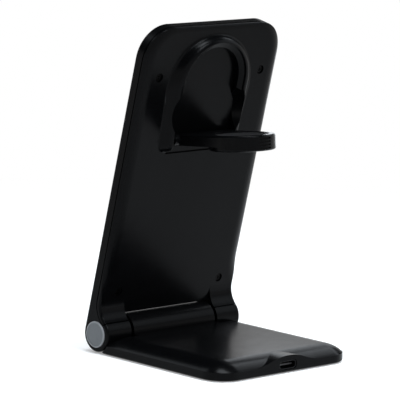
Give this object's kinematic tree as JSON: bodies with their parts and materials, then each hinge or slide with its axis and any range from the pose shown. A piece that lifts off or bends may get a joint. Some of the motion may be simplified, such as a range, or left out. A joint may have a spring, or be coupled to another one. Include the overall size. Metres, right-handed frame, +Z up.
{
  "type": "three in one wireless charger",
  "caption": "Folding black charging stand: a phone panel leans over a flat base on a friction hinge, and a watch arm swings out of a pocket on its rear.",
  "frame": {"origin": "middle of the anti-slip pad's underside, on the table", "axes": "+X along the hinge, +Y to the rear edge with the socket, +Z up"},
  "size_m": [0.073, 0.0777, 0.1309],
  "materials": {
    "black_plastic": "satin",
    "soft_black": "soft matte",
    "black_rubber": "matte",
    "grey_plastic": "satin silver grey",
    "steel": "plain",
    "dark_steel": "blackened",
    "copper": "enamelled copper wire",
    "ferrite": "sintered",
    "nickel": "nickel plated",
    "green_board": "solder mask"
  },
  "bodies": {
    "base": {"base_shell": "black_plastic", "base_plate": "black_plastic", "anti_slip_pad": "black_rubber", "base_screws": "steel", "usb_c_shell": "steel", "usb_c_tongue": "black_plastic", "base_circuit_board": "green_board", "earbud_coil": "copper", "earbud_ferrite": "ferrite", "hinge_pins": "steel", "hinge_washers": "steel", "hinge_nuts": "steel"},
    "phone_panel": {"panel_front_housing": "black_plastic", "panel_front_pad": "soft_black", "rear_cover": "black_plastic", "rear_cover_screws": "dark_steel", "hinge_cap_left": "grey_plastic", "hinge_cap_right": "grey_plastic", "phone_coil": "copper", "phone_ferrite": "ferrite", "phone_magnets": "nickel", "panel_circuit_board": "green_board"},
    "watch_arm": {"arm_housing": "black_plastic", "arm_lower_cover": "black_plastic", "watch_puck": "soft_black", "watch_coil": "copper", "watch_ferrite": "ferrite", "watch_magnet": "nickel", "arm_pins": "steel"}
  },
  "joints": [
    {"name": "panel_hinge", "type": "hinge", "parent": "base", "child": "phone_panel", "pos_m": [0, -0.04065, 0.0074], "axis": [1, 0, 0], "range_deg": [-77, 13]},
    {"name": "arm_hinge", "type": "hinge", "parent": "phone_panel", "child": "watch_arm", "pos_m": [0, -0.02175, 0.08483], "axis": [1, 0, 0], "range_deg": [0, 72]}
  ]
}
